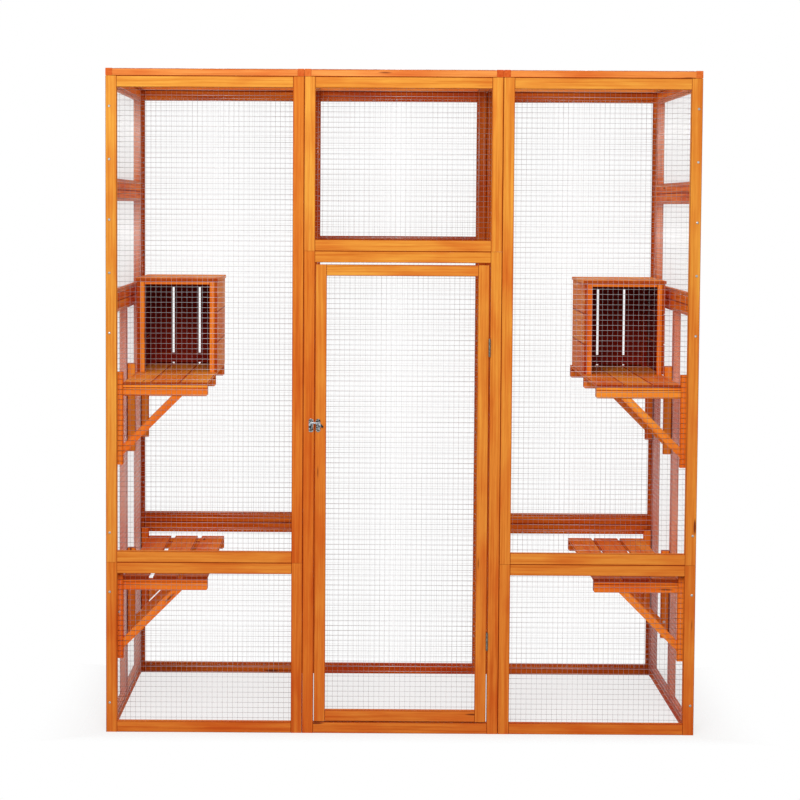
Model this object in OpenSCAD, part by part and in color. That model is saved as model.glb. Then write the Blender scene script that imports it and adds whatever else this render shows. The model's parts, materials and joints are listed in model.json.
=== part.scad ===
// Walk-in cat cage, three units wide: stained timber frames with welded wire mesh,
// a mesh roof, a hinged door in the middle, four slatted shelves and two resting boxes.
// The cage stands on the floor, with its front towards -Y. Millimetres.

/* [Cage] */
// Width of the whole cage
cage_w = 1600; // [1450:1:1800]
// Depth from the front face to the back face
cage_d = 780; // [700:1:900]
// Height from the floor to the top of the roof's timber
cage_h = 1800; // [1700:1:2000]
// Height of the short panels, which are low in the outer units and high in the centre
short_panel_h = 466; // [400:1:520]
// Height of each of the two small panels at the top of a side wall
side_panel_h = 304; // [240:1:340]
// Distance from the front face to the middle of the upright low in a side wall
side_upright_y = 355; // [320:1:400]

/* [Timber] */
// Width of the frame timber
timber_w = 30; // [26:0.5:36]
// Thickness of the frame timber
timber_t = 20; // [16:0.5:24]
// Bevel planed along every timber edge
eased_edge = 1.2; // [0.6:0.1:2]
// Hairline gap where one timber butts against another
joint_gap = 0.3; // [0.2:0.05:0.5]
// Gap between neighbouring panels
panel_gap = 0.6; // [0.3:0.1:1.5]
// Width of a roof side rail's end grain that shows beside the cross rail
roof_end_w = 18; // [14:0.5:22]
// Drop from the top of the roof's side rails to its cross rails
roof_step = 1; // [0.5:0.1:4]

/* [Wire mesh] */
// Spacing of the mesh wires that are drawn, which is one real wire in four
net_pitch = 55.6; // [50:0.1:90]
// Thickness of a mesh wire
wire_t = 1; // [0.8:0.1:1.6]
// How far the mesh laps over the timber that it is stapled to
net_lap = 8; // [5:0.5:9]

/* [Door] */
// Gap between the door and the post on the latch side
latch_gap = 2; // [1.5:0.1:4]
// Gap between the door and the post on the hinge side
hinge_gap = 3; // [2.8:0.1:4]
// Gap above the door
door_top_gap = 6; // [3:0.5:8]
// Gap below the door
door_bottom_gap = 3; // [2:0.5:6]

/* [Hinges] */
// Height of a hinge
hinge_h = 47; // [40:1:60]
// Distance from each end of the door to the middle of its hinge
hinge_inset = 222; // [150:1:300]
// Width of a hinge leaf, from its knuckles to its free edge
hinge_leaf_w = 17; // [15:0.5:19]
// Thickness of a hinge leaf
hinge_leaf_t = 1.2; // [0.9:0.1:1.3]
// Outer diameter of the hinge knuckles
knuckle_d = 6; // [5.4:0.1:7]
// Diameter of the hinge pin
hinge_pin_d = 3; // [2.5:0.1:3.4]

/* [Latch] */
// Height of the middle of the latch plates above the floor
latch_z = 842; // [700:1:1000]
// Width of a latch plate
plate_w = 12.5; // [11:0.5:14]
// Height of a latch plate
plate_h = 36; // [32:0.5:42]
// Thickness of a latch plate
plate_t = 1.2; // [0.8:0.1:1.6]
// Height of the lever's pivot above the middle of its plate
pivot_up = 5; // [3:0.5:7]
// Height of the keeper stud above the middle of its plate
stud_up = 0; // [-1:0.5:2]
// Diameter of the keeper stud's head
stud_d = 4.4; // [3.6:0.1:5]
// Thickness of the lever
lever_t = 2; // [1.6:0.1:2.4]
// Width of the bar that the lever is cut from
lever_bar_w = 3.6; // [3:0.1:4.4]
// Distance from the lever's pivot to the end of its thumb tab
thumb_reach = 17; // [15:0.5:20]

/* [Shelves] */
// Height of the top of the upper shelves
upper_shelf_z = 955; // [900:1:1000]
// Height of the top of the lower shelves
lower_shelf_z = 424; // [400:1:460]
// Distance from the inner face of the side wall to the free edge of a shelf
shelf_reach = 254; // [235:1:270]
// Thickness of a shelf slat
slat_t = 7; // [6:0.5:10]
// Gap between the slats of an upper shelf
upper_slat_gap = 3; // [2:0.5:8]
// Gap between the slats of the lower left shelf
lower_left_slat_gap = 13; // [4:0.5:16]
// Gap between the slats of the lower right shelf
lower_right_slat_gap = 7; // [4:0.5:16]
// Thickness of the battens under the slats
batten_t = 8; // [6:0.5:12]
// Width of the bracket timber, seen from the front
bracket_w = 22; // [18:0.5:26]
// Thickness of the bracket timber, from front to back
bracket_t = 20; // [16:0.5:24]
// Height of a bracket leg above its shelf
leg_above = 27; // [15:1:40]
// Length of a bracket leg below its arm
leg_below = 188; // [175:1:220]
// Width of the slanting strut
strut_w = 20; // [16:0.5:24]
// Distance from the inner corner of the bracket to the outer edge of its strut
strut_run = 160; // [130:1:170]
// Bevel on the free lower corner of an arm
arm_bevel = 4; // [2:0.5:8]

/* [Resting boxes] */
// Width of a resting box
box_w = 231; // [215:1:236]
// Depth of a resting box
box_d = 350; // [300:1:370]
// Height of the walls of a resting box
box_wall_h = 260; // [220:1:300]
// Gap between the left box and the side wall
left_box_gap = 25; // [23:0.5:30]
// Gap between the right box and the side wall
right_box_gap = 19; // [17:0.5:30]
// Gap between the boxes and the rear bracket legs
box_back_gap = 0.6; // [0.5:0.1:6]
// Thickness of the corner posts
box_post = 15.5; // [13:0.5:20]
// Thickness of the wall boards
box_board_t = 7; // [5:0.5:9]
// Height of the rails between the rear posts
box_rail_h = 28; // [20:1:34]
// Height of the rail above the open front
box_front_rail_h = 9; // [8:0.5:14]
// Gap below the lower rails
box_rail_up = 5; // [3:0.5:8]
// Slit between two boards of the back wall
box_slit = 6.5; // [3:0.5:9]
// Gap between two boards of a side wall
box_side_slit = 1.5; // [0.5:0.5:4]
// Thickness of the roof board
box_roof_t = 9; // [6:0.5:12]
// Overhang of the roof board
box_roof_lap = 3; // [1:0.5:6]

/* [Screws] */
// Head diameter of the screws that hold the walls together
screw_head_d = 7; // [6:0.1:9]
// Length of those screws below the head
screw_l = 38; // [34:1:44]
// Distance of those screws from the ends of each panel
screw_inset = 81; // [60:1:100]
// Head diameter of the small screws in the hinges and the latch
small_head_d = 5.2; // [4.6:0.1:5.6]
// Length of the small screws
small_screw_l = 12; // [10:0.5:15]

/* [Hidden] */
$fn = 48;

wood = "#dc7a2e";
wood_dark = "#b8521a";
zinc = "#b9bcc0";

// Clearance of a seated piece, and of a pin that turns in its bore
seat = 0.2;
run_gap = 0.06;
// Air between two faces that lie flat on each other, and at a weld of two crossed wires
flat_gap = 0.05;
// How far a cut runs past the face that it starts from
over = 1;
net_t = 2 * (wire_t + flat_gap);
pin_axis_y = -(knuckle_d / 2 + seat);
// The hinge knuckles stand out furthest at the front, and the screw heads at the back
front_proud = knuckle_d + seat;
back_proud = screw_head_d * 0.28;
front_y = -(cage_d + back_proud - front_proud) / 2;
wall_h = cage_h - timber_t - panel_gap;
panel_w = (cage_w - 2 * panel_gap) / 3;
long_panel_h = wall_h - short_panel_h - panel_gap;
side_d = cage_d - 2 * timber_t - 2 * panel_gap;
side_bottom_h = wall_h - 2 * (side_panel_h + panel_gap);

function panel_x(unit) = -cage_w / 2 + unit * (panel_w + panel_gap);

// Everything below is placed from the front face of the cage, which is y = 0
module in_cage() translate([0, front_y, 0]) children();

// Straight timber with eased edges, along the named axis
module timber(size, axis) {
    across = axis == "x" ? [size.y, size.z] : axis == "y" ? [size.x, size.z] : [size.x, size.y];
    turn = axis == "x" ? [90, 0, 90] : axis == "y" ? [90, 0, 0] : [0, 0, 0];
    len = axis == "x" ? size.x : axis == "y" ? size.y : size.z;
    translate([0, axis == "y" ? len : 0, 0]) rotate(turn)
        linear_extrude(len) eased_outline(across, eased_edge);
}

module eased_outline(size, e) {
    polygon([[e, 0], [size.x - e, 0], [size.x, e], [size.x, size.y - e],
        [size.x - e, size.y], [e, size.y], [0, size.y - e], [0, e]]);
}

// Panel frame in the XZ plane: two stiles of full height with two rails between them
module panel_frame(w, h) {
    rail_l = w - 2 * (timber_w + joint_gap);
    for (x = [0, w - timber_w]) translate([x, 0, 0]) timber([timber_w, timber_t, h], "z");
    for (z = [0, h - timber_w]) translate([timber_w + joint_gap, 0, z])
        timber([rail_l, timber_t, timber_w], "x");
}

// Flat welded mesh in the XZ plane that covers the opening of a frame w wide and h high.
// The upright wires lie on the timber, and the level wires are welded behind them.
module net(w, h) {
    size = [w - 2 * (timber_w - net_lap), h - 2 * (timber_w - net_lap)];
    cells = [max(1, round(size.x / net_pitch)), max(1, round(size.y / net_pitch))];
    pitch = [(size.x - wire_t) / cells.x, (size.y - wire_t) / cells.y];
    translate([timber_w - net_lap, flat_gap + wire_t / 2, timber_w - net_lap]) {
        for (i = [0:cells.x]) translate([wire_t / 2 + i * pitch.x, 0, 0])
            cylinder(d = wire_t, h = size.y);
        for (i = [0:cells.y]) translate([0, wire_t + flat_gap, wire_t / 2 + i * pitch.y])
            rotate([0, 90, 0]) cylinder(d = wire_t, h = size.x);
    }
}

module front_panel(unit, z) in_cage() translate([panel_x(unit), 0, z]) children();
module back_panel(unit, z) in_cage() translate([panel_x(unit), cage_d - timber_t, z]) children();
// side is -1 on the left and 1 on the right
module side_panel(side, z) in_cage()
    translate([side * cage_w / 2 - (side < 0 ? -timber_t : 0), timber_t + panel_gap, z])
        rotate([0, 0, 90]) children();

low_z = short_panel_h + panel_gap;
high_z = long_panel_h + panel_gap;
middle_z = side_bottom_h + panel_gap;
top_z = middle_z + side_panel_h + panel_gap;

module front_left_upper_frame() color(wood) front_panel(0, low_z) panel_frame(panel_w, long_panel_h);
module front_left_lower_frame() color(wood) front_panel(0, 0) panel_frame(panel_w, short_panel_h);
module front_centre_upper_frame() color(wood) front_panel(1, high_z) panel_frame(panel_w, short_panel_h);
module door_surround_frame() color(wood) front_panel(1, 0) panel_frame(panel_w, long_panel_h);
module front_right_upper_frame() color(wood) front_panel(2, low_z) panel_frame(panel_w, long_panel_h);
module front_right_lower_frame() color(wood) front_panel(2, 0) panel_frame(panel_w, short_panel_h);

module back_left_upper_frame() color(wood_dark) back_panel(0, low_z) panel_frame(panel_w, long_panel_h);
module back_left_lower_frame() color(wood_dark) back_panel(0, 0) panel_frame(panel_w, short_panel_h);
module back_centre_upper_frame() color(wood_dark)
    back_panel(1, high_z) panel_frame(panel_w, short_panel_h);
module back_centre_lower_frame() color(wood_dark) back_panel(1, 0) panel_frame(panel_w, long_panel_h);
module back_right_upper_frame() color(wood_dark) back_panel(2, low_z) panel_frame(panel_w, long_panel_h);
module back_right_lower_frame() color(wood_dark) back_panel(2, 0) panel_frame(panel_w, short_panel_h);

// Side panel with an upright between its rails, under the middle brackets
module side_bottom_frame(side) color(wood_dark) side_panel(side, 0) {
    panel_frame(side_d, side_bottom_h);
    translate([side_upright_y - timber_w / 2 - timber_t - panel_gap, 0, timber_w + joint_gap])
        timber([timber_w, timber_t, side_bottom_h - 2 * (timber_w + joint_gap)], "z");
}
module side_small_frame(side, z) color(wood_dark) side_panel(side, z) panel_frame(side_d, side_panel_h);

module left_side_bottom_frame() side_bottom_frame(-1);
module left_side_middle_frame() side_small_frame(-1, middle_z);
module left_side_top_frame() side_small_frame(-1, top_z);
module right_side_bottom_frame() side_bottom_frame(1);
module right_side_middle_frame() side_small_frame(1, middle_z);
module right_side_top_frame() side_small_frame(1, top_z);

// Roof frame lying on the walls: the side rails run from front to back and are notched
// at their ends, and the cross rails sit in the notches
module roof_frame(unit) color(wood) in_cage() translate([panel_x(unit), 0, wall_h + panel_gap]) {
    notch = timber_w - roof_end_w;
    for (right = [0, 1]) translate([right * panel_w, 0, 0]) mirror([right, 0, 0]) difference() {
        timber([timber_w, cage_d, timber_t], "y");
        for (y = [-over, cage_d - timber_w - joint_gap]) translate([roof_end_w, y, -over])
            cube([notch + over, timber_w + joint_gap + over, timber_t + 2 * over]);
    }
    for (y = [0, cage_d - timber_w]) translate([roof_end_w + joint_gap, y, 0])
        timber([panel_w - 2 * (roof_end_w + joint_gap), timber_w, timber_t - roof_step], "x");
}
module roof_left_frame() roof_frame(0);
module roof_centre_frame() roof_frame(1);
module roof_right_frame() roof_frame(2);

// The mesh is stapled to the inner face of every wall frame, and on top of the roof frames
module front_net(unit, z, h) color(zinc)
    front_panel(unit, z) translate([0, timber_t, 0]) net(panel_w, h);
module back_net(unit, z, h) color(zinc)
    back_panel(unit, z) mirror([0, 1, 0]) net(panel_w, h);
module side_net(side, z, h) color(zinc) side_panel(side, z)
    translate([0, side < 0 ? 0 : timber_t, 0]) mirror([0, side < 0 ? 1 : 0, 0]) net(side_d, h);

module front_left_mesh() {
    front_net(0, 0, short_panel_h);
    front_net(0, low_z, long_panel_h);
}
module front_centre_mesh() front_net(1, high_z, short_panel_h);
module front_right_mesh() {
    front_net(2, 0, short_panel_h);
    front_net(2, low_z, long_panel_h);
}
module back_left_mesh() {
    back_net(0, 0, short_panel_h);
    back_net(0, low_z, long_panel_h);
}
module back_centre_mesh() {
    back_net(1, 0, long_panel_h);
    back_net(1, high_z, short_panel_h);
}
module back_right_mesh() {
    back_net(2, 0, short_panel_h);
    back_net(2, low_z, long_panel_h);
}
module side_mesh(side) {
    side_net(side, 0, side_bottom_h);
    side_net(side, middle_z, side_panel_h);
    side_net(side, top_z, side_panel_h);
}
module left_side_mesh() side_mesh(-1);
module right_side_mesh() side_mesh(1);
module roof_mesh() color(zinc) in_cage() for (unit = [0:2])
    translate([panel_x(unit), cage_d, cage_h]) rotate([90, 0, 0]) net(panel_w, cage_d);

// Shelves: three slats from front to back on battens, over three brackets
leg_x = cage_w / 2 - timber_t - net_t - seat;
arm_end_x = cage_w / 2 - timber_t - shelf_reach;
arm_start_x = leg_x - bracket_w - joint_gap;
bracket_y = [timber_t + net_t + seat, side_upright_y - bracket_t / 2,
    cage_d - timber_t - net_t - seat - bracket_t];
slat_end_gap = 5 * seat;
slat_end = timber_t + net_t + slat_end_gap;
slat_l = cage_d - 2 * slat_end;

// Mirrors a piece of the right side to the left where side is -1
module on_side(side) in_cage() mirror([side < 0 ? 1 : 0, 0, 0]) children();

module shelf_slats(side, z, gap) color(wood) on_side(side) {
    slat_w = (arm_start_x - arm_end_x - 2 * gap) / 3;
    for (i = [0:2]) translate([arm_end_x + i * (slat_w + gap), slat_end, z - slat_t])
        timber([slat_w, slat_l, slat_t], "y");
}
module shelf_battens(side, z) color(wood) on_side(side) for (y = bracket_y)
    translate([arm_end_x, y, z - slat_t - seat - batten_t])
        timber([arm_start_x - arm_end_x, bracket_t, batten_t], "x");
module shelf_brackets(side, z) color(wood) on_side(side) for (y = bracket_y) translate([0, y, 0])
    bracket(z - slat_t - batten_t - 2 * seat);

// Bracket: leg against the wall, arm under the batten, and a strut between them
module bracket(arm_top) {
    arm_z = arm_top - bracket_w;
    leg_top = arm_top + batten_t + slat_t + 2 * seat + leg_above;
    translate([leg_x - bracket_w, 0, arm_z - leg_below])
        timber([bracket_w, bracket_t, leg_top - arm_z + leg_below], "z");
    difference() {
        translate([arm_end_x, 0, arm_z])
            timber([arm_start_x - arm_end_x, bracket_t, bracket_w], "x");
        translate([arm_end_x, -over, arm_z]) rotate([-90, 0, 0])
            linear_extrude(bracket_t + 2 * over)
                polygon([[-over, over], [arm_bevel + over, over], [-over, -arm_bevel - over]]);
    }
    translate([arm_start_x, bracket_t, arm_z - joint_gap]) rotate([90, 0, 0])
        linear_extrude(bracket_t) strut_outline();
}
module strut_outline() {
    slice = strut_w * sqrt(2);
    polygon([[0, -strut_run], [0, slice - strut_run], [slice - strut_run, 0], [-strut_run, 0]]);
}

module upper_left_slats() shelf_slats(-1, upper_shelf_z, upper_slat_gap);
module upper_left_battens() shelf_battens(-1, upper_shelf_z);
module upper_left_brackets() shelf_brackets(-1, upper_shelf_z);
module upper_right_slats() shelf_slats(1, upper_shelf_z, upper_slat_gap);
module upper_right_battens() shelf_battens(1, upper_shelf_z);
module upper_right_brackets() shelf_brackets(1, upper_shelf_z);
module lower_left_slats() shelf_slats(-1, lower_shelf_z, lower_left_slat_gap);
module lower_left_battens() shelf_battens(-1, lower_shelf_z);
module lower_left_brackets() shelf_brackets(-1, lower_shelf_z);
module lower_right_slats() shelf_slats(1, lower_shelf_z, lower_right_slat_gap);
module lower_right_battens() shelf_battens(1, lower_shelf_z);
module lower_right_brackets() shelf_brackets(1, lower_shelf_z);

// Resting boxes: a cabin on four posts that is open at the front, standing on the slats.
// Local x runs from the shelf's free edge towards the side wall, local y to the back.
box_y = bracket_y[2] - box_back_gap - box_d;
post_x = box_board_t + joint_gap;
rear_post_y = box_d - box_board_t - joint_gap - box_post;
module in_box(side, gap) on_side(side)
    translate([cage_w / 2 - timber_t - gap - box_w, box_y, upper_shelf_z + seat]) children();

module box_frame(side, gap) color(wood) in_box(side, gap) {
    rail_x = post_x + box_post + joint_gap;
    rail_l = box_w - 2 * rail_x;
    for (x = [post_x, box_w - post_x - box_post], y = [0, rear_post_y])
        translate([x, y, 0]) timber([box_post, box_post, box_wall_h], "z");
    for (z = [box_rail_up, box_wall_h - box_rail_h])
        translate([rail_x, rear_post_y, z]) timber([rail_l, box_post, box_rail_h], "x");
    translate([rail_x, 0, box_wall_h - box_front_rail_h])
        timber([rail_l, box_post, box_front_rail_h], "x");
}
module box_boards(side, gap) color(wood_dark) in_box(side, gap) {
    board_w = (box_w - 2 * box_slit) / 3;
    board_h = (box_wall_h - 2 * box_side_slit) / 3;
    for (i = [0:2]) {
        translate([i * (board_w + box_slit), box_d - box_board_t, 0])
            timber([board_w, box_board_t, box_wall_h], "z");
        for (x = [0, box_w - box_board_t]) translate([x, 0, i * (board_h + box_side_slit)])
            timber([box_board_t, box_d - box_board_t - joint_gap, board_h], "y");
    }
}
module box_roof(side, gap) color(wood) in_box(side, gap)
    translate([-box_roof_lap, -box_roof_lap, box_wall_h + seat])
        timber([box_w + 2 * box_roof_lap, box_d + box_roof_lap, box_roof_t], "x");

module left_box_frame() box_frame(-1, left_box_gap);
module left_box_boards() box_boards(-1, left_box_gap);
module left_box_roof() box_roof(-1, left_box_gap);
module right_box_frame() box_frame(1, right_box_gap);
module right_box_boards() box_boards(1, right_box_gap);
module right_box_roof() box_roof(1, right_box_gap);

// Wood screw along +Z, with the underside of its head at z = 0 and its point below
module round_head_screw(head_d, l) {
    shank_d = head_d * 0.5;
    translate([0, 0, -l + shank_d]) cylinder(d = shank_d, h = l - shank_d);
    translate([0, 0, -l]) cylinder(d1 = 0.6, d2 = shank_d, h = shank_d);
    cylinder(d = head_d, h = head_d * 0.12);
    translate([0, 0, head_d * 0.12]) cylinder(d1 = head_d, d2 = head_d * 0.55, h = head_d * 0.16);
}
module flat_head_screw(head_d, l) {
    shank_d = head_d * 0.55;
    head_h = (head_d - shank_d) / 2;
    translate([0, 0, -head_h]) cylinder(d1 = shank_d, d2 = head_d, h = head_h);
    translate([0, 0, -l + shank_d]) cylinder(d = shank_d, h = l - head_h - shank_d);
    translate([0, 0, -l]) cylinder(d1 = 0.6, d2 = shank_d, h = shank_d);
}

// Screws through the outer posts of the front and back walls into the side walls, near
// both ends of the post and on both sides of every seam
screw_zs = concat([screw_inset, wall_h - screw_inset],
    [for (seam = [short_panel_h, side_bottom_h, top_z], s = [-1, 1]) seam + s * screw_inset]);
module wall_screws() color(zinc) in_cage()
    for (side = [-1, 1], z = screw_zs) translate([side * (cage_w - timber_t) / 2, 0, z]) {
        rotate([90, 0, 0]) round_head_screw(screw_head_d, screw_l);
        translate([0, cage_d, 0]) rotate([-90, 0, 0]) round_head_screw(screw_head_d, screw_l);
    }

// Door
opening_w = panel_w - 2 * timber_w;
door_w = opening_w - latch_gap - hinge_gap;
door_z = timber_w + door_bottom_gap;
door_h = long_panel_h - 2 * timber_w - door_bottom_gap - door_top_gap;
door_x = -opening_w / 2 + latch_gap;
hinge_x = opening_w / 2 - hinge_gap / 2;
hinge_zs = [door_z + hinge_inset, door_z + door_h - hinge_inset];

module door_frame() color(wood) in_cage() translate([door_x, 0, door_z]) panel_frame(door_w, door_h);
module door_mesh() color(zinc) in_cage() translate([door_x, timber_t, door_z]) net(door_w, door_h);

// Butt hinge: the leaves lie in the gap beside the door, and the knuckles stand proud of
// the front. side is -1 for the leaf on the door and 1 for the leaf on the post.
knuckle_h = hinge_h / 3;
leaf_x = hinge_gap / 2 - flat_gap - hinge_leaf_t;
module at_hinges() in_cage() for (z = hinge_zs) translate([hinge_x, pin_axis_y, z - hinge_h / 2])
    children();
module hinge_leaf(side, knuckles) at_hinges() mirror([side < 0 ? 1 : 0, 0, 0]) difference() {
    union() {
        translate([leaf_x, -pin_axis_y, 0])
            cube([hinge_leaf_t, hinge_leaf_w - knuckle_d / 2, hinge_h]);
        for (k = knuckles) translate([0, 0, k * knuckle_h + seat / 2]) {
            cylinder(d = knuckle_d, h = knuckle_h - seat);
            translate([leaf_x, 0, 0]) cube([hinge_leaf_t, over - pin_axis_y, knuckle_h - seat]);
        }
    }
    translate([0, 0, -over]) cylinder(d = hinge_pin_d + 2 * run_gap, h = hinge_h + 2 * over);
    for (k = [0.5, 1.5, 2.5])
        translate([leaf_x + hinge_leaf_t, hinge_screw_y(k) - pin_axis_y, k * knuckle_h])
            rotate([0, -90, 0]) screw_sink(hinge_leaf_t);
}
// The middle screw of a hinge sits further back than the outer two
function hinge_screw_y(k) = hinge_leaf_w * (k == 1.5 ? 0.55 : 0.32);
// Countersunk hole for a small screw through a plate that lies between z = 0 and z = t
module screw_sink(t) {
    translate([0, 0, -over]) cylinder(d = small_head_d * 0.55 + 2 * seat, h = t + 2 * over);
    translate([0, 0, t - small_head_d * 0.225 - seat])
        cylinder(d1 = small_head_d * 0.55 + 2 * seat, d2 = small_head_d + 4 * seat,
            h = small_head_d * 0.225 + 2 * seat);
}
module hinge_fixed_leaves() color(zinc) hinge_leaf(1, [0, 2]);
module hinge_door_leaves() color(zinc) hinge_leaf(-1, [1]);
module hinge_pins() color(zinc) at_hinges() {
    cylinder(d = hinge_pin_d, h = hinge_h);
    for (z = [-1, hinge_h]) translate([0, 0, z]) cylinder(d = hinge_pin_d * 1.6, h = 1);
}

// Latch: a keeper plate with a headed stud on the post, and a plate on the door with a
// lever whose hook drops over the stud. The insets are measured from the edges of the
// post, of the door and of the plates.
keeper_inset = 2.5;
plate_inset = 2;
plate_screw_inset = 4.5;
keeper_x = -opening_w / 2 - plate_w / 2 - keeper_inset;
pivot_x = door_x + plate_w / 2 + plate_inset;
pivot_z = latch_z + pivot_up;
stud_z = latch_z + stud_up;
stud = [keeper_x - pivot_x, stud_z - pivot_z];
pivot_d = 3;
lever_y = plate_t + seat;
plate_screws = [plate_screw_inset - plate_h / 2, plate_h / 2 - plate_screw_inset];
stud_head_t = pivot_d / 3;
stud_head_z = lever_y + lever_t + 2 * seat;

// Things on the front of the timber: local z points out of the cage towards the viewer
module on_front(x, z) in_cage() translate([x, 0, z]) rotate([90, 0, 0]) children();

module latch_keeper() color(zinc) on_front(keeper_x, latch_z) {
    difference() {
        linear_extrude(plate_t) eased_outline_centred([plate_w, plate_h], 3);
        for (z = plate_screws) translate([0, z, 0]) screw_sink(plate_t);
    }
    translate([0, stud_up, 0]) {
        cylinder(d = stud_d - 5 * seat, h = stud_head_z + seat / 2);
        translate([0, 0, stud_head_z])
            cylinder(d1 = stud_d - 5 * seat, d2 = stud_d, h = stud_head_t / 2);
        translate([0, 0, stud_head_z + stud_head_t / 2])
            cylinder(d1 = stud_d, d2 = stud_d * 0.6, h = stud_head_t * 0.7);
    }
}
module eased_outline_centred(size, e) translate(-size / 2) eased_outline(size, e);

module latch_plate() color(zinc) on_front(pivot_x, latch_z) {
    difference() {
        linear_extrude(plate_t) pill([plate_w, plate_h]);
        for (z = plate_screws) translate([0, z, 0]) screw_sink(plate_t);
    }
    translate([0, pivot_up, 0]) {
        cylinder(d = pivot_d, h = lever_y + lever_t + seat);
        translate([0, 0, lever_y + lever_t + seat])
            cylinder(d1 = pivot_d * 1.9, d2 = pivot_d, h = pivot_d * 0.4);
    }
}
module pill(size) {
    square([size.x, size.y - size.x], center = true);
    for (s = [-1, 1]) translate([0, s * (size.y - size.x) / 2]) circle(d = size.x);
}

// Lever: a hook that arches over the stud, an eye round the rivet and a tail with a tab
hook_gap = 0.4;
hook_rise = 2.5;
hook_in = stud_d / 2 + hook_gap;
hook_out = hook_in + lever_bar_w;
thumb_angle = -35;
thumb_w = lever_bar_w * 1.55;
module latch_lever() color(zinc) on_front(pivot_x, pivot_z) translate([0, 0, lever_y])
    linear_extrude(lever_t) difference() {
        union() {
            circle(r = lever_bar_w * 1.15);
            hook_outline();
            tail_outline();
        }
        circle(d = pivot_d + 2 * run_gap);
    }
// The arch stands above the stud, and its far side comes down past the stud
module hook_outline() {
    arch = stud + [0, hook_rise];
    translate(arch) difference() {
        circle(r = hook_out);
        circle(r = hook_in);
        translate([-2 * hook_out, -2 * hook_out]) square([4 * hook_out, 2 * hook_out]);
    }
    claw_w = lever_bar_w * 0.85;
    claw_x = arch.x - (hook_in + hook_out) / 2;
    bar([claw_x, arch.y + claw_w * 0.2], [claw_x, stud.y - hook_in / 2 + claw_w / 2], claw_w);
    bar([arch.x + hook_in * 0.3, arch.y + hook_in + lever_bar_w / 2], [0, lever_bar_w * 0.6], lever_bar_w);
}
// The tail starts over the rivet and widens to the tab
module tail_outline() {
    from = [0, lever_bar_w * 0.6];
    to = (thumb_reach - thumb_w / 2) * [cos(thumb_angle), sin(thumb_angle)];
    bar(from, to, lever_bar_w * 0.9);
    bar(from + (to - from) * 0.62, to, thumb_w);
}
// Straight bar with round ends, from one point to another. The ends are a hair wider than
// the bar, so that no straight edge only just touches a curve.
module bar(a, b, w) {
    d = b - a;
    for (p = [a, b]) translate(p) circle(d = w + 2 * flat_gap);
    translate(a) rotate(atan2(d.y, d.x)) translate([0, -w / 2]) square([norm(d), w]);
}

// Small countersunk screws. Those of the hinges point sideways into post and door.
module hinge_screws(side) at_hinges() mirror([side < 0 ? 1 : 0, 0, 0]) for (k = [0.5, 1.5, 2.5])
    translate([leaf_x, hinge_screw_y(k) - pin_axis_y, k * knuckle_h])
        rotate([0, -90, 0]) flat_head_screw(small_head_d, small_screw_l);
module plate_fixings(x) for (z = plate_screws) on_front(x, latch_z + z)
    translate([0, 0, plate_t]) flat_head_screw(small_head_d, small_screw_l);
module fixed_hardware_screws() color(zinc) {
    hinge_screws(1);
    plate_fixings(keeper_x);
}
module door_hardware_screws() color(zinc) {
    hinge_screws(-1);
    plate_fixings(pivot_x);
}

front_left_upper_frame();
front_left_lower_frame();
front_centre_upper_frame();
door_surround_frame();
front_right_upper_frame();
front_right_lower_frame();
back_left_upper_frame();
back_left_lower_frame();
back_centre_upper_frame();
back_centre_lower_frame();
back_right_upper_frame();
back_right_lower_frame();
left_side_bottom_frame();
left_side_middle_frame();
left_side_top_frame();
right_side_bottom_frame();
right_side_middle_frame();
right_side_top_frame();
roof_left_frame();
roof_centre_frame();
roof_right_frame();
front_left_mesh();
front_centre_mesh();
front_right_mesh();
back_left_mesh();
back_centre_mesh();
back_right_mesh();
left_side_mesh();
right_side_mesh();
roof_mesh();
upper_left_slats();
upper_left_battens();
upper_left_brackets();
upper_right_slats();
upper_right_battens();
upper_right_brackets();
lower_left_slats();
lower_left_battens();
lower_left_brackets();
lower_right_slats();
lower_right_battens();
lower_right_brackets();
left_box_frame();
left_box_boards();
left_box_roof();
right_box_frame();
right_box_boards();
right_box_roof();
wall_screws();
fixed_hardware_screws();
hinge_fixed_leaves();
hinge_pins();
latch_keeper();
door_frame();
door_mesh();
hinge_door_leaves();
latch_plate();
latch_lever();
door_hardware_screws();
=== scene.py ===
# %% [markdown]
# # A walk-in cat cage of stained timber and welded wire
# The fixed frame gives every timber, hinge and latch its true place. Here each of them
# gets its finish, and what is too fine for the frame is added: the real wire mesh, its
# staples, the crosses in the screw heads and the rounded edges of the latch. All of it
# could be modelled from nothing, but then it might drift from the parts that have to fit.

# %% Load the frame
import bpy, bmesh, json, math, random
import numpy as np
from mathutils import Matrix, Vector

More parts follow.
